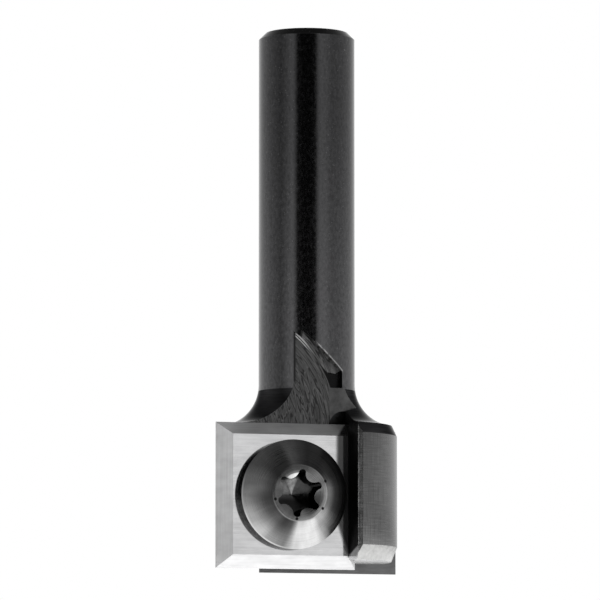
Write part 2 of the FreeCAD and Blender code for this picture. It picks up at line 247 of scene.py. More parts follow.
def turn_solid(name, profile, sides):
    """Solid turned about Z through (radius, height) corners, closed by flat ends."""
    choose()
    radius, height = profile[0]
    bpy.ops.mesh.primitive_circle_add(
        vertices=sides, radius=radius, fill_type="NGON", location=(0, 0, height)
    )
    piece = bpy.context.object
    piece.name = piece.data.name = name
    settle(piece)
    edit(piece)
    for next_radius, next_height in profile[1:]:
        bpy.ops.mesh.extrude_region_move(TRANSFORM_OT_translate={"value": (0, 0, next_height - height)})
        growth = next_radius / radius
        bpy.ops.transform.resize(value=(growth, growth, 1), center_override=(0, 0, next_height))
        radius, height = next_radius, next_height
    return face_outwards(piece)


def drawn_solid(name, corners, depth):
    """Solid drawn as an outline through corners in space and pulled out along depth."""
    choose()
    corners = [Vector(corner) for corner in corners]
    bpy.ops.mesh.primitive_plane_add(size=MM, location=corners[0])
    piece = bpy.context.object
    piece.name = name
    settle(piece)
    edit(piece)
    bpy.ops.mesh.merge(type="CENTER")
    for here, there in zip(corners, corners[1:]):
        bpy.ops.mesh.extrude_vertices_move(TRANSFORM_OT_translate={"value": there - here})
    bpy.ops.object.mode_set(mode="OBJECT")
    points = piece.data.vertices
    for point in points:
        point.select = point.index in (0, len(points) - 1)
    bpy.ops.object.mode_set(mode="EDIT")
    bpy.ops.mesh.edge_face_add()
    bpy.ops.mesh.select_all(action="SELECT")
    bpy.ops.mesh.edge_face_add()
    bpy.ops.mesh.extrude_region_move(TRANSFORM_OT_translate={"value": depth})
    return face_outwards(piece)


def drilled_round(name, radius, start, end, sides):
    """Round cutter between two points on its axis."""
    choose()
    start, end = Vector(start), Vector(end)
    axis = end - start
    bpy.ops.mesh.primitive_cylinder_add(
        vertices=sides,
        radius=radius,
        depth=axis.length,
        location=(start + end) / 2,
        rotation=axis.to_track_quat("Z", "Y").to_euler(),
    )
    piece = bpy.context.object
    piece.name = name
    return settle(piece)


def half_turned(piece, name):
    """Copy of a piece, turned half round the tool's axis."""
    copy = piece.copy()
    copy.data = piece.data.copy()
    copy.name = copy.data.name = name
    bpy.context.scene.collection.objects.link(copy)
    copy.rotation_euler = (0, 0, math.pi)
    return settle(copy)


def cut(piece, *cutters):
    for cutter in cutters:
        choose(piece)
        step = piece.modifiers.new(cutter.name, "BOOLEAN")
        step.operation = "DIFFERENCE"
        step.solver = "EXACT"
        step.object = cutter
        bpy.ops.object.modifier_apply(modifier=step.name)
        bpy.data.objects.remove(cutter)


def break_edges(piece, width, segments=2):
    """Round the sharp edges a little and shade the rest by its true curves."""
    choose(piece)
    bpy.ops.object.shade_smooth_by_angle(angle=SHARP_EDGE)
    step = piece.modifiers.new("Edge break", "BEVEL")
    step.width = width
    step.segments = segments
    step.limit_method = "ANGLE"
    step.angle_limit = SHARP_EDGE
    step.harden_normals = True
    bpy.ops.object.modifier_apply(modifier=step.name)


def tidy_flats(piece):
    """Join faces that lie in one plane."""
    edit(piece)
    bpy.ops.mesh.remove_doubles(threshold=SAME_SPOT)
    bpy.ops.mesh.dissolve_limited(angle_limit=SAME_PLANE)
    choose(piece)


# Node work


class Signal:
    """One output of a node, on which arithmetic builds further nodes."""

    def __init__(self, socket):
        self.socket = socket
        self.tree = socket.id_data

    def step(self, operation, *values, clamp=False):
        inputs = dict(enumerate((self, *values)))
        return Signal(place(self.tree, "Math", inputs, operation=operation, use_clamp=clamp).outputs[0])

    def feed(self, socket):
        self.tree.links.new(self.socket, socket)

    def __add__(self, other):
        return self.step("ADD", other)

    def __sub__(self, other):
        return self.step("SUBTRACT", other)

    def __rsub__(self, other):
        return self * -1.0 + other

    def __mul__(self, other):
        return self.step("MULTIPLY", other)

    def __abs__(self):
        return self.step("ABSOLUTE")


def place(tree, kind, inputs=None, **settings):
    """Add a node, set it, and give its sockets values or links."""
    node = tree.nodes.new("ShaderNode" + kind)
    for key, value in settings.items():
        setattr(node, key, value)
    for key, value in (inputs or {}).items():
        if isinstance(value, Signal):
            value.feed(node.inputs[key])
        elif isinstance(value, bpy.types.NodeSocket):
            tree.links.new(value, node.inputs[key])
        else:
            node.inputs[key].default_value = value
    return node


def signals(node, keys):
    return [Signal(node.outputs[key]) for key in keys]


def from_to(value, low, high, to_low, to_high):
    """Value carried smoothly from one range to another."""
    inputs = {"Value": value, "From Min": low, "From Max": high, "To Min": to_low, "To Max": to_high}
    return Signal(place(value.tree, "MapRange", inputs, interpolation_type="SMOOTHSTEP").outputs[0])


def rising(value, low, high):
    """0 below the low value, 1 above the high one."""
    return from_to(value, low, high, 0.0, 1.0)


def falling(value, low, high):
    """1 below the low value, 0 above the high one."""
    return from_to(value, low, high, 1.0, 0.0)


def near(value, width):
    """1 where a value is nearly 0, fading out over a width."""
    return falling(abs(value), width / 2, width)


def towards(bearing, degrees, wide, narrow):
    """1 on the bearings within a narrow angle of a direction, fading to 0 at a wide one."""
    away = (bearing - math.radians(degrees)).step("COSINE")
    return rising(away, math.cos(math.radians(wide)), math.cos(math.radians(narrow)))


def reach_of(sideways, upwards):
    """Distance made by two offsets square to each other."""
    return (sideways * sideways + upwards * upwards).step("SQRT")


def mixed(mask, below, above):
    """One value under a mask of 0, another under 1."""
    return Signal(place(mask.tree, "Mix", {0: mask, 2: below, 3: above}).outputs[0])


def grey(strength):
    return (strength, strength, strength, 1)


def blended(mask, below, above):
    """One colour under a mask of 0, another under 1."""
    return Signal(place(mask.tree, "Mix", {0: mask, 6: below, 7: above}, data_type="RGBA").outputs[2])


def scaled(tone, amount):
    """A colour made lighter or darker by an amount."""
    return Signal(place(tone.tree, "VectorMath", {0: tone, "Scale": amount}, operation="SCALE").outputs[0])


def group(name, inputs, outputs):
    """Empty shader node group with its sockets and its two ends."""
    tree = bpy.data.node_groups.new(name, "ShaderNodeTree")
    for label, kind, default in inputs:
        socket = tree.interface.new_socket(label, in_out="INPUT", socket_type="NodeSocket" + kind)
        socket.default_value = default
    for label, kind in outputs:
        tree.interface.new_socket(label, in_out="OUTPUT", socket_type="NodeSocket" + kind)
    return tree, tree.nodes.new("NodeGroupInput"), tree.nodes.new("NodeGroupOutput")


def use(tree, name, inputs=None):
    """Place one of the shared node groups."""
    return place(tree, "Group", inputs, node_tree=bpy.data.node_groups[name])


SEAT_FRAME = ("Across", "Out", "Up", "Side")


def seat_frame_group():
    """Place on the tool, in millimetres, the same on the front and the rear side."""
    tree, _, out = group("Seat frame", [], [(label, "Float") for label in SEAT_FRAME])
    spot = place(tree, "TexCoord").outputs["Object"]
    x, y, z = signals(place(tree, "SeparateXYZ", {0: spot}), "XYZ")
    side = y.step("SIGN")
    for label, value in zip(SEAT_FRAME, (x * side * (-1 / MM), abs(y) * (1 / MM), z * (1 / MM), side)):
        value.feed(out.inputs[label])


def grain_group():
    """Fine marks, drawn out by different amounts along three directions."""
    tree, ins, out = group(
        "Fine marks",
        [(k, "Float", 0) for k in "XYZ"] + [("Across " + k, "Float", 1) for k in "XYZ"]
        + [("Detail", "Float", 2)],
        [("Height", "Float")],
    )
    stretched = place(tree, "CombineXYZ", {
        k: Signal(ins.outputs[k]) * ins.outputs["Across " + k] for k in "XYZ"
    })
    noise = place(tree, "TexNoise", {
        "Vector": stretched.outputs[0], "Scale": 1.0, "Detail": ins.outputs["Detail"], "Roughness": 0.6
    })
    tree.links.new(noise.outputs[0], out.inputs["Height"])


# Fine marks lie mostly between these two heights
MARKS_LOW, MARKS_HIGH = 0.3, 0.7


def tone_group():
    """A colour lightened and darkened by a mark, from low to high."""
    tree, ins, out = group(
        "Tone",
        [("Color", "Color", grey(0.5)), ("Mark", "Float", 0.5), ("Low", "Float", 0.8),
         ("High", "Float", 1.2)],
        [("Color", "Color")],
    )
    color, mark, low, high = signals(ins, ("Color", "Mark", "Low", "High"))
    strength = place(tree, "MapRange", {
        "Value": mark, "From Min": MARKS_LOW, "From Max": MARKS_HIGH, "To Min": low, "To Max": high
    }).outputs[0]
    scaled(color, strength).feed(out.inputs["Color"])


def marks(spot, stretch, detail):
    """Fine marks at a place given by three values, the first of them a signal."""
    inputs = dict(zip("XYZ", spot))
    inputs.update({"Across " + k: s for k, s in zip("XYZ", stretch)})
    inputs["Detail"] = detail
    return Signal(use(spot[0].tree, "Fine marks", inputs).outputs[0])


def toned(base, mark, low, high):
    inputs = {"Color": (*base, 1), "Mark": mark, "Low": low, "High": high}
    return Signal(use(mark.tree, "Tone", inputs).outputs[0])


def by_mark(mark, low, high):
    """Value from low to high with the height of the fine marks."""
    return from_to(mark, MARKS_LOW, MARKS_HIGH, low, high)


def new_finish(name, base):
    """Shader of a new metal, and the place on the tool as Across, Out and Up."""
    material = bpy.data.materials.new(name)
    material.use_nodes = True
    material.diffuse_color = (*base, 1)
    tree = material.node_tree
    tree.nodes.clear()
    shader = place(tree, "BsdfPrincipled", {"Metallic": 1.0})
    place(tree, "OutputMaterial", {"Surface": shader.outputs[0]})
    return shader, signals(use(tree, "Seat frame"), SEAT_FRAME[:3])


def finish_with(shader, tone, roughness, relief, bump, depth):
    """Link colour and roughness, and let the relief stand out by up to a depth in millimetres."""
    tone.feed(shader.inputs["Base Color"])
    roughness.feed(shader.inputs["Roughness"])
    raised = place(tone.tree, "Bump", {"Height": relief, "Strength": bump, "Distance": depth * MM})
    tone.tree.links.new(raised.outputs[0], shader.inputs["Normal"])


# Finishes: places are in millimetres in the seat's frame, bearings in degrees


def marked_metal(name, base, stretch, detail, shades, roughness, bump, depth, tint=1.0):
    """Metal with a single kind of fine marks."""
    shader, spot = new_finish(name, base)
    mark = marks(spot, stretch, detail)
    shader.inputs["Specular Tint"].default_value = grey(tint)
    finish_with(shader, toned(base, mark, *shades), by_mark(mark, *roughness), mark, bump, depth)


def ground_oxide(base, seats, body):
    """Black oxide on the ground shank, with fine marks round it and a burr by the slanting cut."""
    shader, spot = new_finish("ground_oxide", base)
    across, _, up = spot
    rings = marks(spot, (1.2, 1.2, 40.0), 3.0)
    mottle = marks(spot, (5.0, 5.0, 3.0), 4.0)
    specks = from_to(marks(spot, (9.0, 9.0, 9.0), 1.0), 0.7, 0.76, 0.0, 0.3)
    chamfer = (body.overall_length - body.shank_chamfer) / MM
    # Painted shade darkens the shank towards its top, and the end chamfer is made nearly black
    shade = from_to(up, 16.0, 40.0, 0.98, 0.6) * from_to(up, chamfer, chamfer + 0.05, 1.0, 0.06)
    tone = scaled(toned(base, mottle, 0.72, 1.28), shade)
    tone = blended(specks, tone, grey(0.4))

    # The burr follows the slanting wall's edge, broken and weaker towards its upper end
    over_slant = up - (body.head_top + seats.runout_rise) / MM + across * math.tan(seats.runout_angle)
    burr = near(over_slant * math.cos(seats.runout_angle), 0.14) * from_to(up, 17.5, 19.8, 1.0, 0.45)
    broken = from_to(marks(spot, (4.0, 1.0, 4.0), 4.0), 0.4, 0.56, 0.1, 0.9)
    burr = burr * broken * falling(across, 2.0, 2.1) * rising(across, -0.5, -0.35)
    tone = blended(burr, tone, grey(0.36))
    shader.inputs["Metallic"].default_value = 0.96
    finish_with(shader, tone, by_mark(mottle, 0.08, 0.2), rings + mottle * 0.5, 0.05, 0.03)


def milled_oxide(base, seats, body):
    """Blackened floor with the arcs left by the cutter that swept it."""
    shader, (across, outwards, up) = new_finish("milled_oxide", base)
    cutter = seats.gullet_radius / MM
    sideways = across + seats.gullet_offset / MM
    upwards = up - (body.head_top - seats.gullet_drop) / MM
    sweep = (reach_of(sideways, upwards), upwards.step("ARCTAN2", sideways), 0.0)
    reach = sweep[0]
    specks = marks((across, up, 0.0), (3.0, 3.0, 1.0), 4.0)
    swept = marks(sweep, (2.6, 2.0, 1.0), 5.0) * 0.75 + specks * 0.25
    tone = toned(base, swept, 0.3, 2.1)

    # Chatter: dark lines along the sweep with lighter ridges beside them, both broken by specks
    waves = (marks(sweep, (1.9, 2.0, 1.0), 1.5) * 9.0).step("FRACT")
    broken = from_to(specks, 0.34, 0.5, 0.2, 1.0)
    tone = blended(near(waves - 0.74, 0.16) * broken * 0.4, tone, grey(0.17))
    tone = blended(near(waves - 0.5, 0.22) * broken * 0.9, tone, grey(0.006))
    tone = scaled(tone, from_to(reach, cutter - 0.05, cutter, 1.0, 1.5))

    # Smoother patch beyond the sweep, under the recess
    patch = rising(across, 0.85, 0.95) * falling(up, 15.0, 15.1)
    tone = blended(patch, tone, toned(base, marks((across, up, 0.0), (1.0, 1.0, 1.0), 5.0), 0.7, 2.0))

    # Fine double burr where the sweep ends high on the shank
    burr = near(reach - (cutter - 0.19), 0.035).step("MAXIMUM", near(reach - (cutter - 0.03), 0.045))
    tone = blended(burr * rising(up, 17.6, 18.9), tone, grey(0.75))

    # Edges with the round of the shank, bare on the wall's side and black on the other
    from_axis = reach_of(across, outwards)
    bare_edge = rising(from_axis, 3.86, 3.93) * rising(across, -0.75, -0.65) * rising(up, 16.8, 17.2)
    tone = blended(bare_edge * specks, tone, grey(0.5))
    black_edge = rising(from_axis, 3.88, 3.94) * falling(across, -1.0, -0.9) * rising(up, 15.4, 15.6)
    tone = blended(black_edge, tone, grey(0.004))
    shader.inputs["Metallic"].default_value = 0.45
    finish_with(shader, tone, by_mark(specks, 0.3, 0.45), swept * (1 - patch), 0.7, 0.12)


def pocket_oxide(base):
    """Black oxide wall, kept deep black beside the knife by painted shade, lighter above the knife, and
    darkened again by painted shade in the recess.
    """
    shader, spot = new_finish("pocket_oxide", base)
    across, outwards, up = spot
    streaks = marks(spot, (2.0, 2.0, 6.0), 3.0)
    # Painted shade: the wall four times darker beside the knife than above it, and darker again in the
    # recess
    shade = from_to(up, 11.8, 12.8, 1.0, 4.0) * from_to(up, 14.95, 15.1, 1.0, 0.35)
    tone = scaled(toned(base, streaks, 0.7, 1.4), shade)

    # Worn lip along the wall's lower end
    lip = falling(up - (outwards * 0.4 - 0.85), -0.1, 0.08)
    lip = lip * rising(across, 1.95, 2.0) * falling(across, 2.6, 2.7)
    tone = blended(lip, tone, grey(0.6))
    finish_with(shader, tone, by_mark(streaks, 0.3, 0.42), streaks, 0.1, 0.1)


def ground_rim(base, body):
    """Ground rim of the head, with crossing marks like a fine weave and a worn land by the wall."""
    shader, spot = new_finish("ground_rim", base)
    across, outwards, up = spot
    round_rim = across.step("ARCTAN2", outwards) * (body.head_diameter / 2 / MM)
    level = marks((round_rim, 0.0, up), (0.6, 1.0, 9.0), 3.0)
    upright = marks((round_rim, 3.0, up), (9.0, 1.0, 0.4), 3.0)
    weave = (level + upright) * 0.5
    flecks = from_to(marks(spot, (5.0, 5.0, 2.5), 3.0), 0.46, 0.56, 0.4, 1.0)
    land = rising(across, 1.9, 2.0) * falling(across, 2.55, 2.7) * rising(up, 0.9, 1.0)
    worn = land * flecks * from_to(across, 2.28, 2.36, 1.0, 0.35)
    tone = blended(worn, toned(base, weave, 0.6, 1.4), grey(0.5))
    finish_with(shader, tone, by_mark(weave, 0.2, 0.3), weave, 0.2, 0.04)


def ground_carbide(name, base, metal, roughness, stretch=(0.25, 3.0, 14.0)):
    """Fine grinding marks on the knives, level unless stretched another way."""
    shader, spot = new_finish(name, base)
    across, _, up = spot
    lines = marks(spot, stretch, 3.0)
    cloud = marks(spot, (0.5, 0.5, 1.2), 2.0)
    tone = toned(base, (lines + cloud) * 0.5, 0.82, 1.18)

    # Painted reflection of the black wall: a dark, less metallic strip beside the wall, which slants
    # outwards at both ends
    slants = (up * -0.33 + 1.29).step("MAXIMUM", 0.0) + (up - 10.95).step("MAXIMUM", 0.0)
    painted_wall_reflection = rising(across - slants, 0.88, 1.32) * rising(up, 0.9, 1.0)
    tone = blended(painted_wall_reflection, tone, grey(0.03))
    (painted_wall_reflection * -metal + metal).feed(shader.inputs["Metallic"])
    finish_with(shader, tone, by_mark(lines, *roughness), lines, 0.03, 0.01)


# Small dark pits round the flat ring, from the screw's axis in millimetres
SCREW_PITS = ((2.18, 1.02), (1.95, -1.22), (-0.27, -2.1), (-2.1, -0.52))


def from_screw(across, up, centre, middle):
    """Ways sideways and up from the screw's axis, with their reach and bearing."""
    sideways, upwards = across - centre / MM, up - middle / MM
    return sideways, upwards, reach_of(sideways, upwards), upwards.step("ARCTAN2", sideways)


def turned_steel(base, centre, middle):
    """Smooth screw head with fine marks round its own axis, and painted light and shade by the bearing."""
    shader, (across, outwards, up) = new_finish("turned_steel", base)
    sideways, upwards, reach, bearing = from_screw(across, up, centre, middle)
    rings = marks((reach, bearing, outwards), (14.0, 0.6, 1.0), 3.0)
    fan = marks((bearing.step("COSINE"), bearing.step("SINE"), reach), (1.6, 1.6, 0.15), 4.0)
    tone = toned(base, fan * 0.8 + rings * 0.2, 0.55, 1.45)

    # Dome: painted highlight below, painted shade at the upper right and near the flat ring, a painted
    # crescent of shade and light at the lower left, and a painted highlight where it meets the flat ring
    bright = (towards(bearing, -79, 26, 13) * 1.2 + 1) * (towards(bearing, -112, 20, 6) * -0.42 + 1)
    dark = towards(bearing, 28, 85, 45) * -0.78 + 1
    dark = dark + towards(bearing, -20, 65, 30) * from_to(reach, 2.4, 3.2, 0.8, 0.0)
    crescent = towards(bearing, -142, 50, 25) * (from_to(reach, 2.8, 4.3, 0.38, 1.4) - 1) + 1
    painted_edge_line = near(reach - 2.3, 0.06) * 0.5 + 1
    dome = bright * dark * crescent * painted_edge_line * from_to(reach, 2.3, 3.2, 0.72, 1.0)

    # Flat ring: painted light at the right, painted shade at the top but for a painted highlight sliver by
    # the socket
    ring = towards(bearing, -20, 90, 40) * 0.35 + 0.65
    ring = ring * (towards(bearing, 110, 60, 30) * from_to(reach, 1.78, 1.95, 0.0, -0.5) + 1)
    ring = ring + towards(bearing, 108, 24, 12) * from_to(reach, 1.62, 1.72, 2.4, 0.0)
    tone = scaled(tone, mixed(rising(reach, 2.28, 2.4), painted_edge_line * ring, dome))

    # Painted highlight along the rim's edge at the lower left
    rim = rising(reach, 4.38, 4.42) * towards(bearing, -148, 62, 25)
    tone = blended(rim, tone, grey(0.4))
    for pit_across, pit_up in SCREW_PITS:
        from_pit = reach_of(sideways - pit_across, upwards - pit_up)
        tone = blended(falling(from_pit, 0.09, 0.16), tone, grey(0.01))
    side = Signal(use(tone.tree, "Seat frame").outputs["Side"])
    radial = place(tone.tree, "CombineXYZ", {0: sideways * side * -1.0, 2: upwards})
    tone.tree.links.new(radial.outputs[0], shader.inputs["Tangent"])
    shader.inputs["Anisotropic"].default_value = 0.8
    finish_with(shader, tone, by_mark(rings, 0.26, 0.34), rings, 0.05, 0.02)


def pressed_steel(name, base, centre, middle):
    """Duller steel round the head's side and inside the socket, where painted shade makes it darker low
    down and painted highlights light two upper bearings near the middle.
    """
    shader, spot = new_finish(name, base)
    _, upwards, reach, bearing = from_screw(spot[0], spot[2], centre, middle)
    press = marks(spot, (3.0, 3.0, 3.0), 3.0)
    # Painted highlights on two upper bearings near the socket's middle
    painted_socket_highlight = towards(bearing, 97, 27, 8) * 3.2 + towards(bearing, 150, 35, 14) * 1.4
    painted_socket_highlight = painted_socket_highlight * from_to(reach, 1.25, 1.4, 1.0, 0.2)
    # Inside the socket, painted shade makes it darker low down
    shade = mixed(rising(reach, 2.4, 3.0), from_to(upwards, -0.6, 0.3, 0.2, 1.1) + painted_socket_highlight, 1.0)
    shader.inputs["Specular Tint"].default_value = grey(0.3)
    tone = scaled(toned(base, press, 0.7, 1.3), shade)
    finish_with(shader, tone, by_mark(press, 0.12, 0.24), press, 0.1, 0.04)


def dress(piece, names, chosen):
    """Give a piece its materials, each face by the place that chosen reads."""
    piece.data.materials.clear()
    for name in names:
        piece.data.materials.append(bpy.data.materials[name])
    for face in piece.data.polygons:
        face.material_index = names.index(chosen(face.center / MM, face.normal))


# Places shared by the body, the knives and the screws


def places(scene):
    """Seat from the axis, the knife's inner edge, and the screw's axis across and up."""
    seats, knives = scene.slot_mill_seats, scene.slot_mill_knives
    seat = seats.web_thickness / 2
    outer_edge = -math.sqrt((seats.cutting_diameter / 2) ** 2 - seat**2)
    return seat, outer_edge + knives.knife_size, outer_edge + knives.knife_size / 2, knives.knife_size / 2


def from_front(points, out):
    """Corners drawn on the front, as (across, up), at a distance out from the axis."""
    return [(across, -out, up) for across, up in points]


def seat_cutters(scene):
    """Cutters for the front seat, its wall, gullet, runout, relief and bore."""
    body, seats, knives = scene.slot_mill_body, scene.slot_mill_seats, scene.slot_mill_knives
    seat, inner_edge, knife_centre, knife_middle = places(scene)
    outside = seats.cutting_diameter
    sides = body.turned_sides
    below = -outside / 10
    wall_foot = inner_edge - seats.wall_inset
    land_foot = body.head_diameter / 2 - seats.wall_land_drop
    wall_at_land = wall_foot + (land_foot - seat) * math.tan(seats.wall_lean)
    shoulder_foot = knives.knife_size + seats.shoulder_rise
    shoulder_top = body.head_top + seats.shoulder_height
    shank = body.shank_diameter / 2
    made = []

    made.append(drawn_solid("seat_cut", [
        (-outside, -seat, below),
        (-outside, -outside, below),
        (wall_at_land + outside, -land_foot - outside * math.tan(seats.wall_land_angle), below),
        (wall_at_land, -land_foot, below),
        (wall_foot, -seat, below),
    ], (0, 0, shoulder_foot + seats.cut_overlap - below)))

    meeting = math.tan(knives.knife_bevel) + math.tan(seats.wall_lean)
    rise = (seats.wall_inset + knives.knife_clearance) / meeting
    made.append(drawn_solid("undercut", [
        (wall_foot, -seat, below),
        (wall_foot + rise * math.tan(seats.wall_lean), -seat - rise, below),
        (inner_edge + knives.knife_clearance, -seat, below),
    ], (0, 0, knives.knife_size + knives.knife_top_clearance - below)))

    gullet_height = body.head_top - seats.gullet_drop
    made.append(drilled_round(
        "gullet_cut",
        seats.gullet_radius,
        (-seats.gullet_offset, -seat, gullet_height),
        (-seats.gullet_offset, -outside, gullet_height),
        sides * 2,
    ))

    slope = math.tan(seats.shoulder_slope)
    made.append(drawn_solid("shoulder_cut", from_front([
        (seats.shoulder_start, shoulder_foot - (wall_foot - seats.shoulder_start) * slope),
        (shank, shoulder_foot + (shank - wall_foot) * slope),
        (shank, shoulder_top),
        (seats.shoulder_start, shoulder_top),
    ], seat), (0, -outside, 0)))

    slant = math.tan(seats.runout_angle)
    inner_arc = seats.gullet_radius - seats.cut_overlap
    arc_at_shank = gullet_height + math.sqrt(inner_arc**2 - (seats.gullet_offset - shank) ** 2)
    arc_at_shoulder = math.sqrt(inner_arc**2 - (shoulder_top - gullet_height) ** 2) - seats.gullet_offset
    low_end = (arc_at_shoulder, shoulder_top)
    high_end = (-shank, arc_at_shank)
    level = Vector((-seats.runout_level_offset, -seat, body.head_top + seats.runout_level))
    outline = from_front([
        low_end,
        *arc(low_end, high_end, inner_arc, turn=1, steps=32),
        (-shank, body.head_top + seats.runout_rise + shank * slant),
        (seats.runout_side, body.head_top + seats.runout_rise - seats.runout_side * slant),
        (seats.runout_side, shoulder_top),
    ], seat)
    runout = drawn_solid("runout_cut", [Vector(p) - level for p in outline], (0, -outside, 0))
    runout.rotation_mode = "AXIS_ANGLE"
    runout.rotation_axis_angle = (
        seats.runout_tilt, math.sin(seats.runout_angle), 0, math.cos(seats.runout_angle)
    )
    runout.location = level
    made.append(settle(runout))

    # The recess narrows to its foot and is lower at its side
    recess_side = seats.runout_side - RECESS_INSET
    recess_foot = shoulder_top + RECESS_LIFT
    made.append(drawn_solid("recess_cut", from_front([
        (seats.runout_side - seats.recess_width, shoulder_top + seats.recess_height),
        (seats.runout_side - seats.recess_width * 0.7, recess_foot),
        (recess_side, recess_foot),
        (recess_side, shoulder_top + seats.recess_height * 0.85),
    ], seat - seats.recess_depth), (0, -seats.recess_depth - OVERSHOOT, 0)))

    relief_across = inner_edge - seats.relief_inset
    relief_up = knives.knife_size - seats.relief_drop
    made.append(drilled_round(
        "relief_cut",
        seats.relief_radius,
        (relief_across, -seat + seats.relief_depth, relief_up),
        (relief_across, -seat - seats.relief_reach, relief_up),
        sides // 2,
    ))
    made.append(drilled_round(
        "screw_bore",
        (knives.screw_diameter + seats.bore_clearance) / 2,
        (knife_centre, -seat + seats.bore_depth, knife_middle),
        (knife_centre, -outside, knife_middle),
        sides // 2,
    ))
    return made


def body_finish(body, seats):
    """Which finish a face of the body has, by its place in millimetres."""
    head = body.head_diameter / 2 / MM
    shank = body.shank_diameter / 2 / MM
    seat = seats.web_thickness / 2 / MM
    ground_from = body.ground_from / MM
    head_top = body.head_top / MM
    low = (body.head_bottom + body.lower_bevel_height) / MM
    flare = (body.head_diameter - body.shank_diameter) / 2 / MM
    land = math.degrees(seats.wall_land_angle)
    recess_top = (body.head_top + seats.shoulder_height) / MM + 0.3

    # Reaches and heights are met within the facets and the edge breaks
    def chosen(spot, normal):
        reach = math.hypot(spot.x, spot.y)
        radial = (normal.x * spot.x + normal.y * spot.y) / max(reach, 0.01)
        facing, level = abs(normal.y), abs(normal.z)
        slope = math.degrees(math.atan2(abs(normal.x), facing))
        on_shank = abs(reach - shank) < 0.06 and radial > 0.9
        on_shank_end = normal.z > 0.5 and spot.z > head_top * 3
        if spot.z > ground_from and (on_shank or on_shank_end):
            return "ground_oxide"
        if head_top - 1 < spot.z <= ground_from:
            curve = math.hypot(reach - head, spot.z - head_top - flare)
            on_flare = abs(curve - flare) < 0.05 and radial > 0.1
            by_bevel = reach > head - 0.6 and spot.z < head_top + 0.2
            if on_flare or (by_bevel and radial > 0.6 and 0.2 < normal.z < 0.7):
                return "turned_oxide"
        if spot.z < low and radial > 0.6 and normal.z < -0.2 and reach > head - 0.7:
            return "bright_bevel"
        if (abs(reach - head) < 0.05 and radial > 0.95) or (spot.z < 1.0 and normal.z < -0.9):
            return "ground_rim"
        if facing > 0.97 and seat - 0.2 < abs(spot.y) < seat + 0.8 and spot.z > head_top - 2:
            return "milled_oxide"
        if spot.z > recess_top and abs(spot.x) < shank and level > 0.3:
            return "milled_oxide"
        if level < 0.1 and abs(land - slope) < 12:
            return "ground_rim"
        return "pocket_oxide"

    return chosen


class SLOTMILL_OT_finishes(Operator):
    """Make the finishes of the metals"""

    bl_idname = "slot_mill.finishes"
    bl_label = "Make Finishes"

    def execute(self, context):
        scene = context.scene
        tones, body, seats = scene.slot_mill_finishes, scene.slot_mill_body, scene.slot_mill_seats
        _, _, centre, middle = places(scene)
        seat_frame_group()
        grain_group()
        tone_group()
        ground_oxide(tones.oxide, seats, body)
        marked_metal(
            "turned_oxide", tones.flare, stretch=(0.5, 0.5, 12.0), detail=3.0, shades=(0.7, 1.3),
            roughness=(0.08, 0.16), bump=0.05, depth=0.06, tint=0.45,
        )
        milled_oxide(tones.milled, seats, body)
        pocket_oxide(tones.wall)
        ground_rim(tones.rim, body)
        marked_metal(
            "bright_bevel", tones.bevel, stretch=(2.2, 2.2, 2.2), detail=4.0, shades=(0.8, 1.15),
            roughness=(0.28, 0.4), bump=0.3, depth=0.15,
        )
        ground_carbide("lapped_carbide", tones.lapped, metal=0.96, roughness=(0.06, 0.12))
        ground_carbide("ground_carbide", tones.carbide, metal=0.48, roughness=(0.1, 0.2))
        ground_carbide(
            "side_bevel", tones.carbide, metal=0.48, roughness=(0.1, 0.2), stretch=(14.0, 3.0, 0.2)
        )
        marked_metal(
            "dull_carbide", tones.back, stretch=(1.0, 1.0, 4.0), detail=3.0, shades=(0.85, 1.15),
            roughness=(0.3, 0.4), bump=0.05, depth=0.02,
        )
        turned_steel(tones.screw, centre, middle)
        pressed_steel("pressed_steel", tones.socket, centre, middle)
        pressed_steel("dark_side", tones.side, centre, middle)
        return {"FINISHED"}


class SLOTMILL_OT_body(Operator):
    """Turn the body and mill both seats and gullets into it"""

    bl_idname = "slot_mill.body"
    bl_label = "Make Body"

    def execute(self, context):
        scene = context.scene
        body, seats = scene.slot_mill_body, scene.slot_mill_seats
        head, shank = body.head_diameter / 2, body.shank_diameter / 2
        flare = head - shank
        flare_top = body.head_top + flare
        bevel_top = flare_top - math.sqrt(flare**2 - body.upper_bevel_width**2)
        ground_edge = (head - math.sqrt(flare**2 - (flare_top - body.ground_from) ** 2), body.ground_from)
        profile = [
            (head - body.lower_bevel_width, body.head_bottom),
            (head, body.head_bottom + body.lower_bevel_height),
            (head, body.head_top - body.upper_bevel_height),
            (head - body.upper_bevel_width, bevel_top),
            *arc((head - body.upper_bevel_width, bevel_top), ground_edge, flare, turn=-1, steps=24),
            *arc(ground_edge, (shank, flare_top), flare, turn=-1, steps=4),
            (shank, body.overall_length - body.shank_chamfer),
            (shank - body.shank_chamfer, body.overall_length),
        ]
        piece = turn_solid("milled_body", profile, body.turned_sides)
        cutters = seat_cutters(scene)
        cut(piece, *[half_turned(cutter, cutter.name + "_rear") for cutter in cutters], *cutters)
        tidy_flats(piece)
        break_edges(piece, body.edge_break)
        dress(
            piece,
            ["ground_oxide", "turned_oxide", "milled_oxide", "pocket_oxide", "ground_rim", "bright_bevel"],
            body_finish(body, seats),
        )
        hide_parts("cutter_body")
        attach(piece, "root")
        return {"FINISHED"}


def sit_on_seat(piece, scene):
    """Lay a piece drawn with its axis along Z on the front seat, at the knife's centre."""
    seat, _, knife_centre, knife_middle = places(scene)
    piece.rotation_euler = (math.pi / 2, 0, 0)
    piece.location = (knife_centre, -seat, knife_middle)
    return settle(piece)


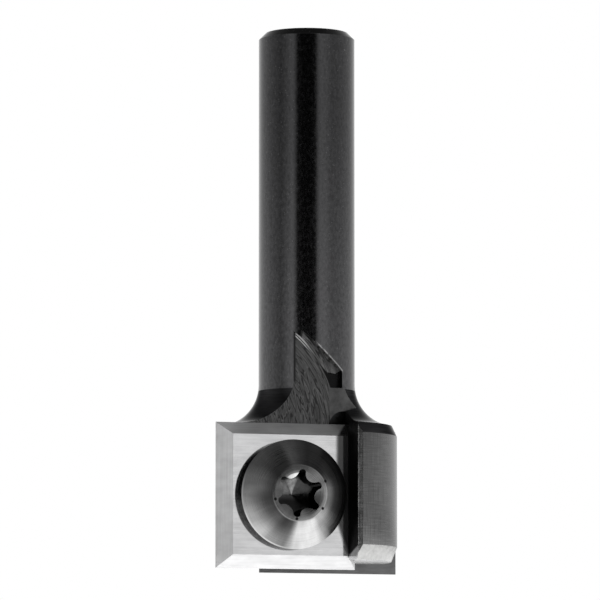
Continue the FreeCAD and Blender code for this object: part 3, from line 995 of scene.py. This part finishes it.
class SLOTMILL_OT_knives(Operator):
    """Make the two reversible knives"""

    bl_idname = "slot_mill.knives"
    bl_label = "Make Knives"

    def execute(self, context):
        scene = context.scene
        knives = scene.slot_mill_knives
        choose()
        bpy.ops.mesh.primitive_plane_add(size=knives.knife_size, location=(0, 0, 0))
        front = bpy.context.object
        front.name = front.data.name = "front_reversible_knife"
        edit(front)
        upper_face = (0, 0, knives.knife_thickness)
        bpy.ops.mesh.extrude_region_move(TRANSFORM_OT_translate={"value": upper_face})
        narrow = 1 - 2 * knives.knife_thickness * math.tan(knives.knife_bevel) / knives.knife_size
        bpy.ops.transform.resize(value=(narrow, narrow, 1), center_override=upper_face)
        face_outwards(front)
        cut(front, drilled_round(
            "knife_hole",
            knives.knife_hole / 2,
            (0, 0, -knives.knife_thickness),
            (0, 0, 2 * knives.knife_thickness),
            DRILL_SIDES,
        ))
        break_edges(front, knives.edge_break, segments=1)
        sit_on_seat(front, scene)
        rear = half_turned(front, "rear_reversible_knife")
        back = places(scene)[0] / MM + 0.01

        def chosen(spot, normal):
            if abs(spot.y) < back:
                return "dull_carbide"
            if abs(normal.x) > 0.5:
                return "side_bevel"
            return "lapped_carbide" if abs(normal.y) > 0.99 else "ground_carbide"

        for piece, node in ((front, "front_knife"), (rear, "rear_knife")):
            dress(piece, ["lapped_carbide", "ground_carbide", "side_bevel", "dull_carbide"], chosen)
            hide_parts(node)
            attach(piece, "root")
        return {"FINISHED"}


def star_outline(knives):
    """Six points and six waists round the screw's axis, as flat corners."""
    tip = knives.point_diameter / 2
    point_radius = tip * math.sin(knives.point_angle) * knives.point_bulge
    gap = math.pi / 6 - knives.point_angle
    span = tip * math.sin(gap)
    sag = tip * math.cos(gap) - knives.waist_diameter / 2
    waist_radius = (span**2 + sag**2) / (2 * sag)
    outline = []
    for k in range(6):
        point = k * math.pi / 3 + knives.socket_turn
        ends = [point - knives.point_angle, point + knives.point_angle]
        before, after = [(tip * math.cos(a), tip * math.sin(a)) for a in ends]
        following = ends[0] + math.pi / 3
        outline += [before, *arc(before, after, point_radius, turn=1, steps=8)]
        end = (tip * math.cos(following), tip * math.sin(following))
        outline += arc(after, end, waist_radius, turn=-1, steps=10)[:-1]
    return outline


class SLOTMILL_OT_screws(Operator):
    """Make the two knife screws"""

    bl_idname = "slot_mill.screws"
    bl_label = "Make Screws"

    def execute(self, context):
        scene = context.scene
        knives = scene.slot_mill_knives
        thread, head = knives.screw_diameter / 2, knives.head_diameter / 2
        shoulder = knives.knife_thickness + knives.head_side
        top = shoulder + knives.dome_rise
        flat, mouth, waist = (
            value / 2 for value in (knives.flat_diameter, knives.mouth_diameter, knives.waist_diameter)
        )
        rim_end = (head - knives.rim_chamfer, shoulder)
        profile = [
            (thread - knives.screw_point_chamfer, -knives.screw_grip),
            (thread, -knives.screw_grip + knives.screw_point_chamfer),
            (thread, knives.knife_thickness),
            (head, knives.knife_thickness),
            (head, shoulder - knives.rim_chamfer),
            rim_end,
            *arc(rim_end, (flat, top), knives.dome_radius, turn=1, steps=16),
            (mouth, top),
            (waist, top - knives.lead_depth),
        ]
        front = turn_solid("front_socket_screw", profile, SCREW_SIDES)
        bottom = top - knives.socket_depth
        corners = [(x, y, bottom) for x, y in star_outline(knives)]
        blunt = 0.02 * MM
        drill = turn_solid("drill_cut", [
            (blunt, bottom - knives.drill_point),
            (waist, bottom + blunt),
            (waist, top + OVERSHOOT),
        ], DRILL_SIDES)
        cut(front, drawn_solid("star_cut", corners, (0, 0, knives.socket_depth + OVERSHOOT)), drill)
        break_edges(front, SCREW_EDGE_BREAK)
        sit_on_seat(front, scene)
        rear = half_turned(front, "rear_socket_screw")
        seat, _, knife_centre, knife_middle = places(scene)
        socket_top = (seat + top - knives.lead_depth) / MM - 0.04
        socket_end = (seat + bottom - knives.drill_point) / MM - 1.1

        def chosen(spot, normal):
            side = 1 if spot.y < 0 else -1
            reach = math.hypot(side * spot.x - knife_centre / MM, spot.z - knife_middle / MM)
            upright = abs(normal.y) < 0.3
            if abs(reach - head / MM) < 0.03 and upright:
                return "dark_side"
            inside = reach < mouth / MM + 0.01 and socket_end < abs(spot.y) < socket_top
            on_flank = reach < mouth / MM - 0.02 and upright
            return "pressed_steel" if inside or on_flank else "turned_steel"

        for piece, node in ((front, "front_knife_screw"), (rear, "rear_knife_screw")):
            dress(piece, ["turned_steel", "pressed_steel", "dark_side"], chosen)
            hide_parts(node)
            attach(piece, "root")
        return {"FINISHED"}


# Studio: lengths in metres, strengths of the soft boxes by their bearing from the camera in degrees,
# and of the sky from the floor (-1) to straight above (1)


CAMERA_BEARING = math.radians(17.47)
CAMERA_DISTANCE = 0.4184
CAMERA_HEIGHT = -0.01995
CAMERA_PITCH = math.radians(5.808)
CAMERA_LENS = 302.8
SENSOR_WIDTH = 36
AIM_ASIDE = -0.000555
FLOOR_RADIUS = 1.5
SOFT_BOXES = (
    (-180, 0.85), (-110, 0.9), (-85, 0.62), (-64, 0.38), (-50, 0.65), (-35, 1.0), (-29, 0.75), (-22, 0.04),
    (-8, 0.0), (10, 0.0), (22, 0.04), (28, 0.8), (34, 1.05), (48, 0.95), (62, 0.65), (80, 0.7), (110, 0.9),
    (180, 0.85),
)
SKY = ((-1.0, 1.3), (-0.05, 1.1), (0.25, 1.0), (0.5, 0.62), (0.75, 0.36), (1.0, 0.34))


def ramp(factor, stops):
    """Colour ramp of greys through (place, strength) stops."""
    node = place(factor.tree, "ValToRGB", {"Fac": factor})
    points = node.color_ramp.elements
    while len(points) < len(stops):
        points.new(0.5)
    for point, (spot, strength) in zip(points, stops):
        point.position = spot
        point.color = grey(strength)
    return node.outputs["Color"]


def studio_light(scene):
    """Soft boxes all round with a gap at the camera, and white behind the tool."""
    world = bpy.data.worlds.new("Studio")
    scene.world = world
    world.use_nodes = True
    tree = world.node_tree
    tree.nodes.clear()
    heading = place(tree, "TexCoord").outputs["Generated"]
    turned = place(tree, "Mapping", {"Vector": heading, "Rotation": (0, 0, CAMERA_BEARING + math.pi / 2)})
    gradient = place(tree, "TexGradient", {"Vector": turned.outputs[0]}, gradient_type="RADIAL")
    boxes = ramp(Signal(gradient.outputs[1]), [(0.5 + a / 360, s) for a, s in SOFT_BOXES])
    height = Signal(place(tree, "SeparateXYZ", {0: heading}).outputs["Z"])
    sky = ramp(height * 0.5 + 0.5, [((z + 1) / 2, s) for z, s in SKY])
    glow = place(tree, "VectorMath", {0: boxes, 1: sky}, operation="MULTIPLY").outputs[0]
    room = place(tree, "Background", {"Color": glow, "Strength": 1.0}).outputs[0]
    backdrop = place(tree, "Background", {"Color": grey(1), "Strength": 1.0}).outputs[0]
    seen = place(tree, "LightPath").outputs["Is Camera Ray"]
    either = place(tree, "MixShader", {0: seen, 1: room, 2: backdrop}).outputs[0]
    place(tree, "OutputWorld", {"Surface": either})


def studio_floor(tone):
    """Pale floor, bright in the metal near the tool and seen through from below."""
    choose()
    bpy.ops.mesh.primitive_circle_add(vertices=FLOOR_SIDES, radius=FLOOR_RADIUS, fill_type="NGON")
    floor = bpy.context.object
    floor.name = "studio_floor"
    material = bpy.data.materials.new("pale_floor")
    material.use_nodes = True
    tree = material.node_tree
    tree.nodes.clear()
    spot = place(tree, "TexCoord").outputs["Object"]
    cloud = Signal(place(tree, "TexNoise", {"Vector": spot, "Scale": 3.0}).outputs[0])
    shade = toned(tone, cloud, 0.99, 1.01)
    paper = place(tree, "BsdfPrincipled", {
        "Base Color": shade, "Roughness": 0.8, "Emission Color": shade, "Emission Strength": 0.5
    }).outputs[0]
    away = Signal(place(tree, "VectorMath", {0: spot}, operation="LENGTH").outputs["Value"])
    glow = from_to(away, 0.011, 0.03, 1.95, 0.9)
    lit = place(tree, "Emission", {"Color": shade, "Strength": glow}).outputs[0]
    seen, bounces = signals(place(tree, "LightPath"), ("Is Camera Ray", "Diffuse Depth"))
    plain = seen.step("MAXIMUM", bounces, clamp=True)
    upper = place(tree, "MixShader", {0: plain, 1: lit, 2: paper}).outputs[0]
    clear = place(tree, "BsdfTransparent").outputs[0]
    below = place(tree, "NewGeometry").outputs["Backfacing"]
    either = place(tree, "MixShader", {0: below, 1: upper, 2: clear}).outputs[0]
    place(tree, "OutputMaterial", {"Surface": either})
    floor.data.materials.append(material)


class SLOTMILL_OT_stage(Operator):
    """Set the pale floor, the soft light and the camera"""

    bl_idname = "slot_mill.stage"
    bl_label = "Set Stage"

    def execute(self, context):
        scene = context.scene
        studio_floor(scene.slot_mill_finishes.floor)
        studio_light(scene)
        scene.view_settings.view_transform = "Standard"

        lens = bpy.data.cameras.new("Camera")
        lens.lens = CAMERA_LENS
        lens.sensor_width = SENSOR_WIDTH
        lens.clip_start = 0.01
        lens.clip_end = 10
        camera = bpy.data.objects.new("Camera", lens)
        scene.collection.objects.link(camera)
        back = Vector((-math.sin(CAMERA_BEARING), -math.cos(CAMERA_BEARING), 0))
        aside = Vector((math.cos(CAMERA_BEARING), -math.sin(CAMERA_BEARING), 0))
        camera.location = back * CAMERA_DISTANCE + Vector((0, 0, CAMERA_HEIGHT))
        ahead = (aside * AIM_ASIDE - back * CAMERA_DISTANCE).normalized()
        aim = ahead * math.cos(CAMERA_PITCH) + Vector((0, 0, math.sin(CAMERA_PITCH)))
        camera.rotation_euler = aim.to_track_quat("-Z", "Y").to_euler()
        scene.camera = camera
        return {"FINISHED"}


class SLOTMILL_PT_panel(Panel):
    """Sizes, finishes and steps of the slot mill"""

    bl_label = "Slot Mill"
    bl_idname = "SLOTMILL_PT_panel"
    bl_space_type = "VIEW_3D"
    bl_region_type = "UI"
    bl_category = "Slot Mill"

    def draw(self, context):
        for step in STEPS:
            self.layout.operator(step.bl_idname)
        for title, settings in (
            ("Body", context.scene.slot_mill_body),
            ("Seats", context.scene.slot_mill_seats),
            ("Knives and screws", context.scene.slot_mill_knives),
            ("Finishes", context.scene.slot_mill_finishes),
        ):
            box = self.layout.box()
            box.label(text=title)
            for key in settings.__annotations__:
                box.prop(settings, key)


STEPS = (
    SLOTMILL_OT_finishes,
    SLOTMILL_OT_body,
    SLOTMILL_OT_knives,
    SLOTMILL_OT_screws,
    SLOTMILL_OT_stage,
)
CLASSES = (BodySizes, SeatSizes, KnifeSizes, Finishes, *STEPS, SLOTMILL_PT_panel)


def register():
    for kind in CLASSES:
        bpy.utils.register_class(kind)
    bpy.types.Scene.slot_mill_body = PointerProperty(type=BodySizes)
    bpy.types.Scene.slot_mill_seats = PointerProperty(type=SeatSizes)
    bpy.types.Scene.slot_mill_knives = PointerProperty(type=KnifeSizes)
    bpy.types.Scene.slot_mill_finishes = PointerProperty(type=Finishes)


def unregister():
    del bpy.types.Scene.slot_mill_finishes
    del bpy.types.Scene.slot_mill_knives
    del bpy.types.Scene.slot_mill_seats
    del bpy.types.Scene.slot_mill_body
    for kind in reversed(CLASSES):
        bpy.utils.unregister_class(kind)


def main():
    register()
    bpy.ops.slot_mill.finishes()
    bpy.ops.slot_mill.body()
    bpy.ops.slot_mill.knives()
    bpy.ops.slot_mill.screws()
    bpy.ops.slot_mill.stage()
    choose()


if __name__ == "__main__":
    main()
